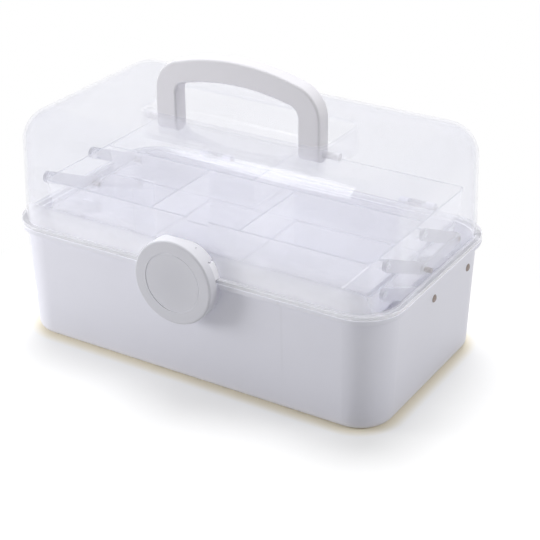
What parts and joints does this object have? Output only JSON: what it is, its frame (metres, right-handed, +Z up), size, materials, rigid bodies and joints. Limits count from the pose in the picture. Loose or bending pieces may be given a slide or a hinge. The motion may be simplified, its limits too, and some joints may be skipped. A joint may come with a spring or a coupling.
{
  "type": "make-up storage case",
  "caption": "Carry case with an opaque tub, clear hinged lid with recessed handle, round flip latch and clear divided trays that swing up on flat arms.",
  "frame": {"origin": "on the floor under the middle of the case", "axes": "+X along the case, +Y from the latch side to the hinge side, +Z up"},
  "size_m": [0.33, 0.208, 0.229],
  "materials": {
    "tub_plastic": "satin moulded white",
    "clear_plastic": "clear, slightly milky, polished",
    "tray_plastic": "clear, slightly milky",
    "handle_plastic": "satin white",
    "latch_plastic": "satin pale grey",
    "white_plastic": "white",
    "arm_plastic": "translucent white",
    "steel": "dull steel"
  },
  "bodies": {
    "tub": {"base_tub": "tub_plastic", "hinge_pin_left": "steel", "hinge_pin_right": "steel", "tub_pin_front_left": "steel", "tub_pin_front_right": "steel", "tub_pin_rear_left": "steel", "tub_pin_rear_right": "steel"},
    "lid": {"lid_shell": "clear_plastic", "latch_plate": "white_plastic", "latch_pin": "steel"},
    "handle": {"handle": "handle_plastic"},
    "latch": {"latch_cap": "latch_plastic"},
    "lower_front_arms": {"lower_arm_front_left": "arm_plastic", "lower_arm_front_right": "arm_plastic"},
    "lower_rear_arms": {"lower_arm_rear_left": "arm_plastic", "lower_arm_rear_right": "arm_plastic"},
    "middle_tray": {"middle_tray": "tray_plastic", "tie_strip_left": "arm_plastic", "tie_strip_right": "arm_plastic", "tray_pin_front_left": "steel", "tray_pin_front_right": "steel", "tray_pin_rear_left": "steel", "tray_pin_rear_right": "steel"},
    "upper_front_arms": {"upper_arm_front_left": "arm_plastic", "upper_arm_front_right": "arm_plastic"},
    "upper_rear_arms": {"upper_arm_rear_left": "arm_plastic", "upper_arm_rear_right": "arm_plastic"},
    "top_tray": {"top_tray": "tray_plastic"}
  },
  "joints": [
    {"name": "lid_hinge", "type": "hinge", "parent": "tub", "child": "lid", "pos_m": [0, 0.0995, 0.0929], "axis": [-1, 0, 0], "range_deg": [0, 100]},
    {"name": "latch_flip", "type": "hinge", "parent": "lid", "child": "latch", "pos_m": [0, -0.0953, 0.1165], "axis": [-1, 0, 0], "range_deg": [0, 80]},
    {"name": "handle_swing", "type": "hinge", "parent": "lid", "child": "handle", "pos_m": [0, -0.01, 0.171], "axis": [-1, 0, 0], "range_deg": [-35, 60]},
    {"name": "lower_front_arm_swing", "type": "hinge", "parent": "tub", "child": "lower_front_arms", "pos_m": [0, -0.0034, 0.0747], "axis": [-1, 0, 0], "range_deg": [0, 50]},
    {"name": "lower_rear_arm_swing", "type": "hinge", "parent": "tub", "child": "lower_rear_arms", "pos_m": [0, 0.0539, 0.0747], "axis": [-1, 0, 0], "range_deg": [0, 50]},
    {"name": "middle_tray_level", "type": "hinge", "parent": "lower_front_arms", "child": "middle_tray", "pos_m": [0, -0.053, 0.0963], "axis": [-1, 0, 0], "range_deg": [-50, 0]},
    {"name": "upper_front_arm_swing", "type": "hinge", "parent": "middle_tray", "child": "upper_front_arms", "pos_m": [0, -0.0034, 0.0963], "axis": [-1, 0, 0], "range_deg": [0, 50]},
    {"name": "upper_rear_arm_swing", "type": "hinge", "parent": "middle_tray", "child": "upper_rear_arms", "pos_m": [0, 0.0539, 0.0963], "axis": [-1, 0, 0], "range_deg": [0, 50]},
    {"name": "top_tray_level", "type": "hinge", "parent": "upper_front_arms", "child": "top_tray", "pos_m": [0, -0.057, 0.1215], "axis": [-1, 0, 0], "range_deg": [-50, 0]}
  ],
  "couplings": [
    {"joint": "lower_front_arm_swing", "follows": "lid_hinge", "ratio": 0.5},
    {"joint": "lower_rear_arm_swing", "follows": "lid_hinge", "ratio": 0.5},
    {"joint": "middle_tray_level", "follows": "lid_hinge", "ratio": -0.5},
    {"joint": "upper_front_arm_swing", "follows": "lid_hinge", "ratio": 0.5},
    {"joint": "upper_rear_arm_swing", "follows": "lid_hinge", "ratio": 0.5},
    {"joint": "top_tray_level", "follows": "lid_hinge", "ratio": -0.5}
  ]
}
